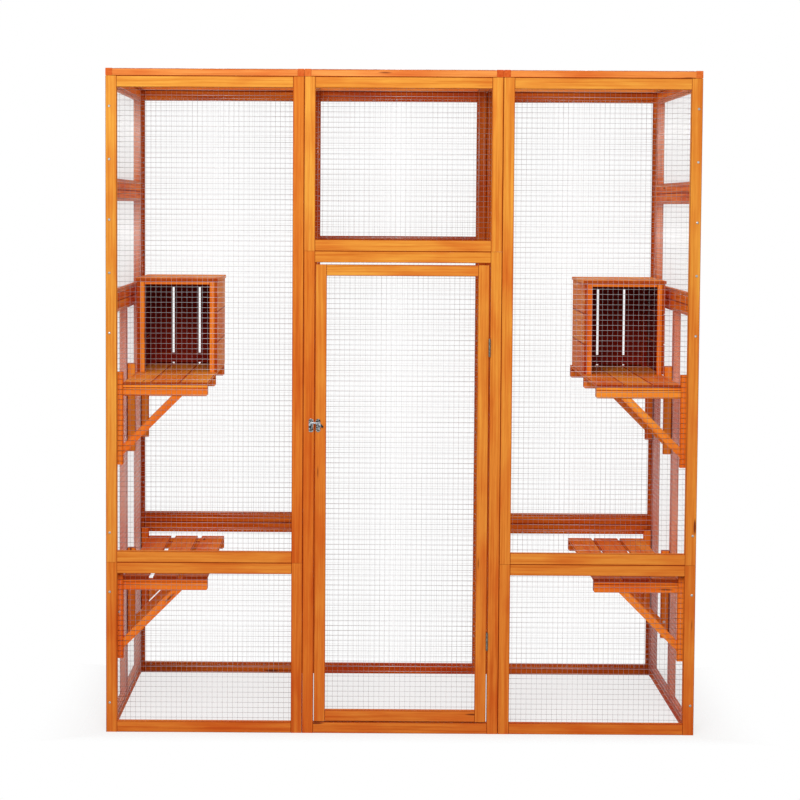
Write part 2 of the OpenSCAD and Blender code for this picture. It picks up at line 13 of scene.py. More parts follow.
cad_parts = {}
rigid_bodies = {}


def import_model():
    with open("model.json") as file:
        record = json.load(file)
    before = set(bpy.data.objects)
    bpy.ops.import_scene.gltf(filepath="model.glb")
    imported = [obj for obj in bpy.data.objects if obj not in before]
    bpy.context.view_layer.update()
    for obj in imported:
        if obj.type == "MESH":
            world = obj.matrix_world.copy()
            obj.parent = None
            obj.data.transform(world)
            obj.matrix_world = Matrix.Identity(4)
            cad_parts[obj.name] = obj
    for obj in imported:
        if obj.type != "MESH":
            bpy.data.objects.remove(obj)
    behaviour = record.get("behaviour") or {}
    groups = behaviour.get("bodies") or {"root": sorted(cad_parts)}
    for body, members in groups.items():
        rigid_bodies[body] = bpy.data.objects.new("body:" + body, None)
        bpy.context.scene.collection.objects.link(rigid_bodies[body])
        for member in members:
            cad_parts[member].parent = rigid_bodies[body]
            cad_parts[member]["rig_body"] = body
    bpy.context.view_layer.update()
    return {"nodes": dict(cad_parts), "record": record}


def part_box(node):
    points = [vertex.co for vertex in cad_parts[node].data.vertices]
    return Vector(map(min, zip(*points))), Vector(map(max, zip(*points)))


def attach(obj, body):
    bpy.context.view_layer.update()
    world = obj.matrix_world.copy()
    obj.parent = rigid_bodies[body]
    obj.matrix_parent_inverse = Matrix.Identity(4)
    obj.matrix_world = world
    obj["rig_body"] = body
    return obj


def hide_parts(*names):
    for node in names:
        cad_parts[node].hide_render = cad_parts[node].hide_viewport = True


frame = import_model()
nodes, record = frame["nodes"], frame["record"]
slot_of = {s["node"]: s["material_slot"] for s in record["subparts"]}

# %% [markdown]
# The camera comes first, because every later choice of detail depends on how large a
# millimetre is in the picture. It could be placed by eye, but then no edge would lie where
# the photograph has it. Its place and its three turns were worked out from the edges of the
# posts, seams and shelves instead: it stands a little left of the middle, at head height,
# and looks slightly down. Angles are in radians.

# %% Which way the camera looks
yaw, pitch, roll = -0.0026, 0.0614, 0.0056
ahead = Vector((math.sin(yaw) * math.cos(pitch), math.cos(yaw) * math.cos(pitch),
                -math.sin(pitch)))
right = Vector((math.cos(yaw), -math.sin(yaw), 0))
down = ahead.cross(right)
turned_right = right * math.cos(roll) - down * math.sin(roll)
turned_down = right * math.sin(roll) + down * math.cos(roll)
print("ahead:", ahead)

# %% [markdown]
# Blender wants a focal length in millimetres of its sensor, and the fit gives one in pixels
# of the picture, so the first is worked out from the second. The photograph was cropped off
# centre, so the point that the lens aims at isn't in its middle. Turning the camera
# further would make the upright posts lean, so a small shift of the lens stands for the crop.

# %% Camera
picture_px, focal_px, aim_x_px, aim_y_px = 800, 2174.67, 353.23, 339.26
front_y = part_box("door_surround_frame")[0].y
camera_x, camera_y, camera_z = -0.11724, front_y - 5.8498, 1.43546

camera_data = bpy.data.cameras.new("camera")
camera_data.sensor_width = 36
camera_data.lens = camera_data.sensor_width * focal_px / picture_px
camera_data.shift_x = (picture_px / 2 - aim_x_px) / picture_px
camera_data.shift_y = (aim_y_px - picture_px / 2) / picture_px
camera_data.clip_end = 60
camera = bpy.data.objects.new("camera", camera_data)
bpy.context.scene.collection.objects.link(camera)
camera.matrix_world = Matrix((
    (turned_right.x, -turned_down.x, -ahead.x, camera_x),
    (turned_right.y, -turned_down.y, -ahead.y, camera_y),
    (turned_right.z, -turned_down.z, -ahead.z, camera_z),
    (0, 0, 0, 1)))
bpy.context.scene.camera = camera
bpy.context.scene.view_settings.view_transform = "Standard"
print("lens:", round(camera_data.lens, 1), "mm")

# %% [markdown]
# Colours are written as sRGB hex values, the way that a colour chart gives them, while
# shaders add up light. Linear values typed by hand would hide what colour is meant, so one
# function turns the hex values to linear. Its numbers are those of the sRGB standard.

# %% Colour
def linear(code):
    """An sRGB hex colour as linear red, green and blue, and a full alpha."""
    parts = [int(code[i:i + 2], 16) / 255 for i in (1, 3, 5)]
    return [c / 12.92 if c <= 0.04045 else ((c + 0.055) / 1.055) ** 2.4 for c in parts] + [1]


white = linear("#FFFFFF")
print("white is", white)

# %% [markdown]
# A material is a tree of nodes. It could be wired by hand in the editor, but a script makes
# the same tree every time. Adding a node always means the same three things: its settings,
# the stops of a colour ramp, and what goes into its sockets. One small function does all
# three, so that each material below reads as a list of what it is made of.

# %% Nodes
def add_node(tree, kind, settings=None, stops=None, **inputs):
    """Adds a node. Inputs are named, or i0 for the first one, and take a value or a socket."""
    made = tree.nodes.new("ShaderNode" + kind)
    for name, value in (settings or {}).items():
        setattr(made, name, value)
    for k, (place, code) in enumerate(stops or []):
        elements = made.color_ramp.elements
        element = elements[k] if k < len(elements) else elements.new(place)
        element.position, element.color = place, linear(code)
    for name, value in inputs.items():
        socket = made.inputs[int(name[1:]) if name[1:].isdigit() else name.replace("_", " ")]
        if isinstance(value, bpy.types.NodeSocket):
            tree.links.new(value, socket)
        else:
            socket.default_value = value
    return made


def new_material(name):
    """A material with an empty tree, and the tree."""
    made = bpy.data.materials.new(name)
    made.use_nodes = True
    made.node_tree.nodes.clear()
    return made, made.node_tree


# %% [markdown]
# A pattern's scale says how many of its features fit in a metre. It could be tried out until
# it looks right, but then it would be right from one distance only. So it is worked out from
# the size of the real feature in millimetres, and rounded to two figures, because such a
# size is never known better than that.

# %% Pattern sizes
def per_metre(*sizes_mm):
    """How many features of each size fit in a metre, to two figures."""
    return tuple(float(f"{1000 / size:.2g}") for size in sizes_mm)


print("lines that are 6 mm apart:", per_metre(6)[0], "in a metre")

# %% [markdown]
# The cage is photographed on white. More light would make its surroundings white too, but it
# would bleach the timber. So the light stays plain, and the surroundings answer each
# ray by its kind: a ray from the camera, a reflection or a ray through something
# see-through finds white, and a ray that only gathers light finds less.

# %% What is looked at
def looked_at(tree):
    """1 for what the camera, a reflection or a see-through surface looks at, else 0."""
    rays = add_node(tree, "LightPath")
    seen = add_node(tree, "Math", {"operation": "MAXIMUM"}, i0=rays.outputs["Is Camera Ray"],
                    i1=rays.outputs["Is Glossy Ray"])
    return add_node(tree, "Math", {"operation": "MAXIMUM"}, i0=seen.outputs[0],
                    i1=rays.outputs["Is Transmission Ray"]).outputs[0]


# %% [markdown]
# The floor is there for the soft shadow under the bottom rails, which sets the cage down on
# the ground. A slab would do as well, but only its top is ever seen, so it is one flat sheet,
# much larger than the cage, and marked as stage, because it is no part of the object.

# %% Floor sheet
floor_reach = 6
floor_mesh = bpy.data.meshes.new("floor")
shape = bmesh.new()
bmesh.ops.create_grid(shape, x_segments=1, y_segments=1, size=floor_reach)
shape.to_mesh(floor_mesh)
shape.free()
floor = bpy.data.objects.new("floor", floor_mesh)
bpy.context.scene.collection.objects.link(floor)
print("floor:", 2 * floor_reach, "m across")

# %% [markdown]
# The floor is matt white studio paint: it scatters light evenly and mirrors nothing, and
# faint clouds in it, a third of a metre across, keep it from looking like a plain backdrop.
# What is seen of it is lifted towards white by a share of glow, as in a studio shot, and
# keeps the rest of the shadow. It throws less light back than it shows, because the lower
# timbers of the real cage are the deeper ones.

# %% Floor paint
cloud_mm, glow_share = 333, 0.72
painted_floor, tree = new_material("white_studio_floor")
place = add_node(tree, "TexCoord").outputs["Object"]
clouds = add_node(tree, "TexNoise", Vector=place, Scale=per_metre(cloud_mm)[0],
                  Detail=2.0).outputs[0]
shown = add_node(tree, "ValToRGB", stops=[(0.3, "#F0F0F0"), (0.7, "#F6F6F5")], Fac=clouds)
bounced = add_node(tree, "ValToRGB", stops=[(0.3, "#BCBCBC"), (0.7, "#C4C4C4")], Fac=clouds)
lifted = add_node(tree, "MixShader", i0=glow_share,
                  i1=add_node(tree, "BsdfDiffuse", Color=shown.outputs[0]).outputs[0],
                  i2=add_node(tree, "Emission", Color=white, Strength=1.0).outputs[0])
paint = add_node(tree, "MixShader", i0=looked_at(tree), i2=lifted.outputs[0],
                 i1=add_node(tree, "BsdfDiffuse", Color=bounced.outputs[0]).outputs[0])
floor_mesh.materials.append(painted_floor)
print("floor paint:", painted_floor.name, "with a glow of", glow_share)

# %% [markdown]
# A floor that ends would show its edge, and one without end would grey the whole picture.
# This one turns see-through beyond the cage instead. Depth counts double, so that the
# visible part is wide and shallow like the cage's own floor. From 0.74 m out it starts to
# go, and at 1.02 m it is gone, softly at both ends.

# %% Floor fade
depth_counts, fade_from, fade_to = 2, 0.74, 1.02
spread = add_node(tree, "VectorMath", {"operation": "MULTIPLY"}, i0=place,
                  i1=(1, depth_counts, 0))
out_from_middle = add_node(tree, "VectorMath", {"operation": "ABSOLUTE"}, i0=spread.outputs[0])
sides = add_node(tree, "SeparateXYZ", Vector=out_from_middle.outputs[0])
beyond = add_node(tree, "Math", {"operation": "MAXIMUM"}, i0=sides.outputs["X"],
                  i1=sides.outputs["Y"])
fade = add_node(tree, "MapRange", {"interpolation_type": "SMOOTHSTEP"},
                Value=beyond.outputs[0], From_Min=fade_from, From_Max=fade_to)
surface = add_node(tree, "MixShader", i0=fade.outputs[0], i1=paint.outputs[0],
                   i2=add_node(tree, "BsdfTransparent").outputs[0])
add_node(tree, "OutputMaterial", Surface=surface.outputs[0])
print("floor fades from", fade_from, "m to", fade_to, "m")

# %% [markdown]
# The room is a white world. It is fully white to look at, and about half as strong as a
# light, which reaches the cage evenly from all sides. Walls and a ceiling would give the
# same light more slowly, since each ray would have to bounce between them.

# %% White room
sky_strength, backdrop_strength = 0.52, 1.0
world = bpy.data.worlds.new("white_room")
bpy.context.scene.world = world
world.use_nodes = True
tree = world.node_tree
tree.nodes.clear()
sky = add_node(tree, "Background", Color=white, Strength=sky_strength)
backdrop = add_node(tree, "Background", Color=white, Strength=backdrop_strength)
both = add_node(tree, "MixShader", i0=looked_at(tree), i1=sky.outputs[0],
                i2=backdrop.outputs[0])
add_node(tree, "OutputWorld", Surface=both.outputs[0])
print("sky:", sky_strength)

# %% [markdown]
# Even light alone leaves the timbers flat. One soft square lamp above the camera makes the
# upper timbers brighter than the lower ones and gives each rail a lit and a shaded face. A
# small lamp would cast hard shadows of the mesh, so this one is 1.8 m wide.

# %% Lamp
lamp_width, lamp_power = 1.8, 86
lamp_place, lamp_aim = (-0.4, -3.4, 2.9), Vector((0, 0, 1.2))
lamp_data = bpy.data.lights.new("key_above_camera", "AREA")
lamp_data.shape, lamp_data.size, lamp_data.energy = "SQUARE", lamp_width, lamp_power
lamp = bpy.data.objects.new("key_above_camera", lamp_data)
bpy.context.scene.collection.objects.link(lamp)
lamp.location = lamp_place
lamp.rotation_mode = "QUATERNION"
lamp.rotation_quaternion = (lamp_aim - lamp.location).to_track_quat("-Z", "Y")
print("lamp power:", lamp_data.energy)

# %% [markdown]
# A node of the fixed frame is a mesh of loose triangles, which is never changed itself. A
# copy of it has its doubled points merged and its flat faces joined, so that edges are
# shared and a long board has few faces. A board could be built again from its measures,
# but the hinges and screws need a clean copy as well, and it is made in the same way.

# %% Copy a node's mesh
same_point, same_plane = 1e-6, 0.01


def merged_copy(node):
    """The node's mesh with its doubled points merged and its flat faces joined."""
    shape = bmesh.new()
    shape.from_mesh(nodes[node].data)
    bmesh.ops.remove_doubles(shape, verts=shape.verts, dist=same_point)
    bmesh.ops.dissolve_limit(shape, angle_limit=same_plane, verts=shape.verts,
                             edges=shape.edges)
    return shape


door_copy = merged_copy("door_frame")
print("faces of the door's timber:", len(door_copy.faces))

# %% [markdown]
# A frame is four boards in one mesh. Each board needs its own grain, so they have to be told
# apart: from any point, all points that edges lead to belong to the same board. Blender can
# also separate loose parts into objects, but here a frame should stay one piece.

# %% Tell the boards of a mesh apart
def islands(shape):
    """The separate solids of a mesh, each as a list of its vertices."""
    left, found = set(shape.verts), []
    for seed in list(shape.verts):
        if seed in left:
            island, rim = [seed], [seed]
            left.remove(seed)
            while rim:
                for edge in rim.pop().link_edges:
                    for v in edge.verts:
                        if v in left:
                            left.remove(v)
                            island.append(v)
                            rim.append(v)
            found.append(island)
    return found


print("boards in the door:", len(islands(door_copy)))
door_copy.free()

# %% [markdown]
# Every finished piece is handed over in the same way: its faces are turned outwards, it
# stays at the origin with its place in its mesh, it gets its finish, it is told which body it
# rides on, and the node that it stands for is hidden. One function does that, so no piece can
# miss a part of it.

# %% Turn a mesh into a piece
def add_piece(name, shape, material, body, node=None):
    """Turns a bmesh into an object that rides on a body and may stand for a node."""
    bmesh.ops.recalc_face_normals(shape, faces=shape.faces)
    mesh = bpy.data.meshes.new(name)
    shape.to_mesh(mesh)
    shape.free()
    piece = bpy.data.objects.new(name, mesh)
    bpy.context.scene.collection.objects.link(piece)
    mesh.materials.append(material)
    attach(piece, body)
    if node:
        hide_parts(node)
    return piece


# %% [markdown]
# Grain runs along a board, so its length has to be found. Most boards lie square to the
# room, but the struts of the brackets slant. The direction in which a board's points
# spread the most is its length either way, and it comes from the points alone, so no list
# of slanting boards is needed.

# %% Which way a board runs
square_to_room = 0.97


def board_axes(points):
    """The direction of a board's length and two directions across it."""
    size = points.max(0) - points.min(0)
    spread = points - points.mean(0)
    longest = np.linalg.eigh(spread.T @ spread)[1][:, -1]
    k = int(np.argmax(np.abs(longest)))
    if abs(longest[k]) > square_to_room:
        others = sorted((i for i in range(3) if i != k), key=lambda i: -size[i])
        return np.eye(3)[k], np.eye(3)[others[0]], np.eye(3)[others[1]]
    across = np.cross(longest, (0, 1, 0))
    across /= np.linalg.norm(across)
    return longest, across, np.cross(longest, across)


# %% [markdown]
# The insides of the resting boxes are the darkest wood of the cage. Even light still gets
# in between the boards and through the open front, and shadow alone leaves the inside too
# pale, so the faces that look into the box are painted darker, as painted shade. Such a face
# points towards the middle of its box, and the middle is well in front of it.

# %% Faces that look into a box
box_reach, in_front = 0.06, 0.5


def looks_inside(node, face):
    """True for a face of a resting box that looks into the box."""
    low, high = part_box(node.split("_box_")[0] + "_box_boards")
    towards = (low + high) / 2 - face.calc_center_median()
    return face.normal.dot(towards) > in_front * max(abs(towards.x), abs(towards.z), box_reach)


# %% [markdown]
# No two boards took the stain alike. In the front and back walls the pale and the deep ones
# are plain to see, so their tones are listed, in the order left post, right post,
# lower rail, upper rail, from 0, pale, to 1, deep. Everywhere else chance gives them.

# %% Tones of the boards
board_tones = {
    "front_left_upper_frame": (0.1, 1.0, 0.3, 0.1),
    "front_left_lower_frame": (0.6, 0.8, 0.6, 0.5),
    "front_centre_upper_frame": (0.3, 0.6, 0.5, 0.4),
    "door_surround_frame": (1.0, 0.6, 0.5, 0.6),
    "front_right_upper_frame": (0.5, 0.4, 0.3, 0.2),
    "front_right_lower_frame": (0.6, 0.5, 0.6, 0.4),
    "door_frame": (0.5, 0.4, 0.3, 0.2),
    "back_left_upper_frame": (0.6, 0.1, 0.2, 0.1),
    "back_left_lower_frame": (0.4, 0.9, 0.0, 0.2),
    "back_centre_upper_frame": (0.8, 0.2, 0.8, 0.8),
    "back_centre_lower_frame": (0.4, 0.7, 0.9, 0.3),
    "back_right_upper_frame": (0.5, 0.1, 0.0, 0.5),
    "back_right_lower_frame": (0.2, 0.4, 0.0, 0.0)}
print("frames with tones of their own:", len(board_tones))

# %% [markdown]
# The faces of one board take the stain differently too. Sawn ends drink the most, because
# the grain is open there. The eased edges are painted as a darker line, as painted shade of
# the seams between boards, and the insides of the boxes are painted deep brown, as painted
# shade. Picking such faces by hand would take hours. The way that a face points, against the
# length and the width of its board, says which kind it is.

# %% Kinds of face
# Kinds of face: eased edges and box insides carry painted shade, and sawn ends carry real
# stain.
eased_edge_painted_shade, box_inside_painted_shade, sawn_end = 0.5, 0.75, 1.0
nearly_square = 0.9


def kind_of_face(node, face, along, wide, thin):
    """0 for a long face of a board, and otherwise which special kind it is."""
    n = np.array(face.normal)
    if abs(n @ along) > nearly_square:
        return sawn_end
    if max(abs(n @ wide), abs(n @ thin)) < nearly_square:
        return eased_edge_painted_shade
    return box_inside_painted_shade if slot_of[node] == "box_wood" and looks_inside(node, face) else 0.0


# %% [markdown]
# One grain pattern for the whole cage would be wrong on half of the boards, and a UV map for
# each would be much work for long straight timbers. Instead every board carries its own
# grain coordinates as an attribute: how far along it a point lies, and how far across, in
# metres, moved by up to 20 m each way, so that no two boards look alike. A second value is
# the board's tone, and a third the kind of each face. Where a board has a second material,
# its faces that don't point outward take it.

# %% Give every board its grain
grain_range, facing_out = 20, 0.5


def grained_copy(node, material, inside=None, outward=(0, 0, 0)):
    """A copy of a wooden node whose boards know their own grain, as a new piece."""
    shape = merged_copy(node)
    grain = shape.verts.layers.float_vector.new("grain")
    tone = shape.verts.layers.float.new("tone")
    face_kind = shape.faces.layers.float.new("face_kind")
    rng = random.Random(node)
    boards = islands(shape)
    for k, board in enumerate(boards):
        points = np.array([v.co for v in board])
        axes, middle = board_axes(points), points.mean(0)
        shade = board_tones[node][k] if node in board_tones else rng.random()
        shift = [rng.uniform(-grain_range, grain_range) for _ in range(3)]
        for v in board:
            v[grain] = [(np.array(v.co) - middle) @ axis + s for axis, s in zip(axes, shift)]
            v[tone] = shade
        for face in {f for v in board for f in v.link_faces}:
            face[face_kind] = kind_of_face(node, face, *axes)
            face.material_index = int(bool(inside)
                                      and np.array(face.normal) @ outward < facing_out)
    piece = add_piece(node + "_wood", shape, material, nodes[node]["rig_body"],
                      node)
    if inside:
        piece.data.materials.append(inside)
    return len(boards)


# %% [markdown]
# Planed pine shows soft early wood and darker lines of late wood, 3 to 6 mm apart on a flat
# face and drawn out along the board, clouds where the stain soaked in unevenly, and small
# knots now and then. A photograph of wood would repeat itself on such long timbers, and
# noise doesn't: noise stretched along the grain makes lines, fibres and clouds, and stretched
# cells make the knots. A slow noise bends the lines by up to 12 mm, because no tree grows
# straight. Each pattern is given its size along the board and across it, in millimetres.
# Real fibres are a few hundredths of a millimetre thick. They are drawn 0.7 mm thick, which
# is as coarse as they need to be to show.

# %% Pine patterns
wander = 0.012


def pine_patterns(tree):
    """The lines, fibres, clouds and knots of pine, laid along each board's own grain."""
    grain = add_node(tree, "Attribute", {"attribute_name": "grain"}).outputs["Vector"]
    slow = add_node(tree, "Mapping", Vector=grain, Scale=per_metre(450, 45, 45))
    bends = add_node(tree, "TexNoise", Scale=1.0, Detail=2.0, Vector=slow.outputs[0])
    bent = add_node(tree, "VectorMath", {"operation": "MULTIPLY_ADD"},
                    i0=bends.outputs["Color"], i1=(0.0, wander, wander), i2=grain).outputs[0]
    found = {}
    for name, kind, laid, sizes_mm, settings in (
            ("lines", "TexNoise", bent, (330, 6, 6), {"Detail": 3.0, "Roughness": 0.55}),
            ("fibres", "TexNoise", grain, (25, 0.7, 0.7), {"Detail": 2.0}),
            ("clouds", "TexNoise", grain, (200, 55, 55), {"Detail": 2.0}),
            ("knots", "TexVoronoi", bent, (285, 42, 42), {})):
        drawn_out = add_node(tree, "Mapping", Vector=laid, Scale=per_metre(*sizes_mm))
        found[name] = add_node(tree, kind, Scale=1.0, Vector=drawn_out.outputs[0],
                               **settings).outputs[0]
    return found


# %% [markdown]
# The timber is softwood, planed and then brushed with a thin orange-brown stain. The stain
# lets the grain through, and each thing that deepens it is one more layer of tint. Clouds,
# the tone of the board and fibres are as on the real boards. The tint by height above the
# floor is painted shade, which changes the colour from the foot of the cage upwards, and
# the kind of face gives real stain on sawn ends and painted shade on eased edges and inside
# the boxes. The colours could be mixed as layers of paint, but multiplied tints never hide
# the grain below. A Mix node has sockets for several kinds of data. Those for colours are
# inputs 6 and 7 and output 2.

# %% Stained pine
# The tint by height is painted shade. It fades out at this height, in metres.
painted_shade_ends_at, knot_brown = 1.4, "#7E3512"
# Where a knot begins and where it is fully dark, as parts of the cell that it sits in.
knot_edge, knot_heart = 0.1, 0.04


def stained_colour(tree, patterns, light, body, dark, end, low, high):
    """The colour of the grain under its layers of tint."""
    tone = add_node(tree, "Attribute", {"attribute_name": "tone"}).outputs["Fac"]
    kind = add_node(tree, "Attribute", {"attribute_name": "face_kind"}).outputs["Fac"]
    place = add_node(tree, "SeparateXYZ", Vector=add_node(tree, "TexCoord").outputs["Object"])
    height = add_node(tree, "MapRange", Value=place.outputs["Z"], From_Max=painted_shade_ends_at)
    colour = add_node(tree, "ValToRGB", Fac=patterns["lines"],
                      stops=[(0.28, light), (0.5, body), (0.74, dark)]).outputs[0]
    for factor, amount, stops in (
            (patterns["clouds"], 0.65, [(0.45, "#FFFFFF"), (0.72, "#E8A47C")]),
            (tone, 1.0, [(0.0, "#FFFFFF"), (0.6, "#FAEADC"), (1.0, "#F0C8AC")]),
            # Painted shade by height: the tint is low at the floor and changes to high at the
            # top.
            (height.outputs[0], 1.0, [(0.0, low), (1.0, high)]),
            (patterns["fibres"], 0.3, [(0.3, "#D0B498"), (0.6, "#FFFFFF")]),
            # Eased edges and box insides: painted shade. Sawn ends: the stain of open end
            # grain.
            (kind, 1.0, [(0.0, "#FFFFFF"), (0.3, "#FFFFFF"), (eased_edge_painted_shade, "#C28A66"),
                         (box_inside_painted_shade, "#8E362E"), (sawn_end, end)])):
        tint = add_node(tree, "ValToRGB", Fac=factor, stops=stops)
        colour = add_node(tree, "Mix", {"data_type": "RGBA", "blend_type": "MULTIPLY"},
                          i0=amount, i6=colour, i7=tint.outputs[0]).outputs[2]
    knots = add_node(tree, "MapRange", {"interpolation_type": "SMOOTHSTEP"},
                     Value=patterns["knots"], From_Min=knot_edge, From_Max=knot_heart)
    return add_node(tree, "Mix", {"data_type": "RGBA"}, i0=knots.outputs[0], i6=colour,
                    i7=linear(knot_brown)).outputs[2]


# %% [markdown]
# To the eye such timber is warm and nearly matt: the stain is thin and has no lacquer on
# it, so its shine is weak and broad, a little broader on the dark lines, which stand up
# from the planed face by a fraction of a millimetre. A roughness near 0.6 is usual for bare
# wood, and the specular level is low because stain fills the pores with matt colour.
# Carving the lines would take millions of faces, so a bump with their pattern stands for them.

# %% Finish of the pine
def stained_pine(name, light, body, dark, end, low="#FFFFFF", high="#FFFFFF"):
    """Pine in three colours of grain, with a tint for sawn ends and painted shade at its foot
    and its top.
    """
    material, tree = new_material(name)
    patterns = pine_patterns(tree)
    colour = stained_colour(tree, patterns, light, body, dark, end, low, high)
    rough = add_node(tree, "MapRange", Value=patterns["lines"], To_Min=0.55, To_Max=0.72)
    bump = add_node(tree, "Bump", Strength=0.25, Distance=0.0004, Height=patterns["lines"])
    surface = add_node(tree, "BsdfPrincipled", Base_Color=colour, Roughness=rough.outputs[0],
                       Specular_IOR_Level=0.1, Normal=bump.outputs[0])
    add_node(tree, "OutputMaterial", Surface=surface.outputs[0])
    return material


# %% [markdown]
# The stain is one, but it lies differently on each kind of timber, and some looks carry
# painted shade too. One material for all would miss that, and one for each frame would say
# the same thing many times, so there are six. Each is made as the last cell says, and a
# comment tells what sets it apart for the eye.

# %% Six looks of one stain
# Outer faces: the palest and yellowest, painted deeper and pinker towards the floor as
# painted shade.
front_pine = stained_pine("pine_with_orange_stain", "#F2B248", "#EA9E3C", "#D68026",
                          "#EBC5B1", low="#FFDCE0")
# Roof frames, seen edge on and from below: redder than the front.
roof_pine = stained_pine("roof_pine_with_orange_stain", "#F8A858", "#F0984A", "#DE7E34",
                         "#EBBFA6")
# The back wall's inner faces: deep orange brown as painted shade of the cage's inside, and
# painted greyer at the top.
inner_pine = stained_pine("pine_with_orange_stain_and_painted_shade", "#F58422", "#DC6816", "#B4480A",
                          "#C8A48C", high="#DCDCDC")
# The side walls' inner faces, stained through the mesh: strong orange, deepened as painted
# shade of the cage's inside, and painted duller at the foot.
side_pine = stained_pine("pine_with_orange_stain_under_mesh", "#FF9E2A", "#F87E1C", "#CA5A10",
                         "#C8A48C", low="#F0D8B8")
# Slats, battens and brackets: planed smooth, clean orange, painted deeper near the floor as
# painted shade, with sawn ends dark from their open grain and from painted shade.
shelf_pine = stained_pine("planed_pine_with_orange_stain", "#FFB446", "#FFA236", "#F48A28",
                          "#B08060", low="#FCCEBA")
# Thin boards of the resting boxes: as the shelves, a little redder.
box_pine = stained_pine("thin_pine_board_with_orange_stain", "#FFAC3E", "#FF9C32", "#F08022",
                        "#BC8C6C")
print("pine materials:", sum("pine" in m.name for m in bpy.data.materials))

# %% [markdown]
# The front wall, the door and all outer faces are the palest. The faces of the side and
# back walls that look into the cage are painted deeper in colour, as painted shade of the
# cage's inside, so these walls have two materials, and each face is given one of them by the
# way it points. Splitting the walls in two pieces would do the same, but would open their
# edges.

# %% Dress the boards
outward_of = {"back": (0, 1, 0), "left": (-1, 0, 0), "right": (1, 0, 0)}
count = 0
for name in nodes:
    if slot_of[name] == "shelf_wood":
        count += grained_copy(name, shelf_pine)
    elif slot_of[name] == "box_wood":
        count += grained_copy(name, box_pine)
    elif slot_of[name] == "frame_wood" and (name.startswith("back") or "_side_" in name):
        inside = inner_pine if name.startswith("back") else side_pine
        count += grained_copy(name, front_pine, inside, outward_of[name.split("_")[0]])
    elif slot_of[name] == "frame_wood":
        count += grained_copy(name, roof_pine if name.startswith("roof") else front_pine)
print("boards:", count)

# %% [markdown]
# All the metal of the cage is plated steel, and such a coat is never quite even: it is
# mottled in patches of a few millimetres that differ a little in colour, in polish and in
# height. They could be painted on each piece, but one noise in the piece's own coordinates
# does it on all. So the metals below share a function and differ in colour, in polish and
# in the size of their patches. They are fully metallic, and their roughness starts from
# what such a coat usually has: 0.1 to 0.2 for chrome, 0.3 to 0.5 for zinc. The dark steel
# of the latch's tab, whose darkness is painted shade, is as rough as zinc.

# %% Coated metal
smoother, rougher = 0.06, 0.08


def metal(name, code, shade_code, roughness, size_mm, bump_strength=0.1,
          shade_to_code=(0.3, 0.65)):
    """A metal with fine mottling whose patches are size_mm across."""
    material, tree = new_material(name)
    patches = add_node(tree, "TexNoise", Vector=add_node(tree, "TexCoord").outputs["Object"],
                       Scale=1000 / size_mm, Detail=3.0).outputs[0]
    colour = add_node(tree, "ValToRGB", Fac=patches,
                      stops=list(zip(shade_to_code, (shade_code, code))))
    rough = add_node(tree, "MapRange", Value=patches, To_Min=roughness - smoother,
                     To_Max=roughness + rougher)
    bump = add_node(tree, "Bump", Strength=bump_strength, Distance=0.0002, Height=patches)
    surface = add_node(tree, "BsdfPrincipled", Base_Color=colour.outputs[0], Metallic=1.0,
                       Roughness=rough.outputs[0], Normal=bump.outputs[0])
    add_node(tree, "OutputMaterial", Surface=surface.outputs[0])
    return material


# %% [markdown]
# The mesh is steel wire, welded and then dipped in molten zinc. To the eye that is a soft
# grey shine without a mirror in it. It is one zinc in two colours. The mesh of the front and
# the door stands between the light and the camera, and its grey is painted duller, as painted
# shade. That of the sides, the back and the roof is lit from inside, and its grey is painted
# nearly as bright as the room, as painted light, so it fades against the white. The frost of
# zinc crystals is too fine to show on a wire, so its patches are drawn 4 mm long.

# %% Galvanised steel
# Painted shade: the front and door mesh is drawn a duller grey.
galvanised = metal("galvanised_steel_wire", "#BAB4B6", "#9E989A", 0.42, 4)
# Painted light: the mesh seen against the room is drawn nearly white.
painted_light_galvanised = metal("galvanised_steel_wire_with_painted_light", "#EEEAE8", "#DEDAD8", 0.36, 4)
print("wire metals:", galvanised.name, "and", painted_light_galvanised.name)

# %% [markdown]
# A wire is less than a pixel wide in the picture, so all that is seen of it is how much it
# darkens the white behind it and lightens the dark. Two thousand round tubes would be
# heavy, and a flat sheet with a mesh painted on it would vanish edge on. So each wire is a
# thin rod with six sides, smooth shaded, and each staple is three rods with four sides: a
# crown across the wire and two legs down to the timber.

# %% Rods and staples
crown_length, crown_d, leg_d = 0.009, 0.0009, 0.0008


def rod(shape, middle, along, length, d, sides=6):
    """Adds a closed rod of thickness d with its middle at a point."""
    turn = along.to_track_quat("Z", "Y").to_matrix().to_4x4()
    bmesh.ops.create_cone(shape, cap_ends=True, segments=sides, radius1=d / 2, radius2=d / 2,
                          depth=length, matrix=Matrix.Translation(middle) @ turn)


def staple(shape, middle, along, out, top):
    """A crown pressed on a wire at height top, with two legs down to the timber."""
    rod(shape, middle + out * top, along, crown_length, crown_d, sides=4)
    for side in (-1, 1):
        leg_out = along * ((crown_length - leg_d) / 2 * side)
        rod(shape, middle + leg_out + out * (top / 2), out, top, leg_d, sides=4)


# %% [markdown]
# Each mesh lies on the inner side of one to three frames, and on the roof on their outer
# side. It starts 22 mm in from a frame's edge, so it laps the timber by 8 mm. Its pitch is
# 13.9 mm, a little over half an inch. All this is a short table rather than code for each
# wall, because the walls differ in nothing else.

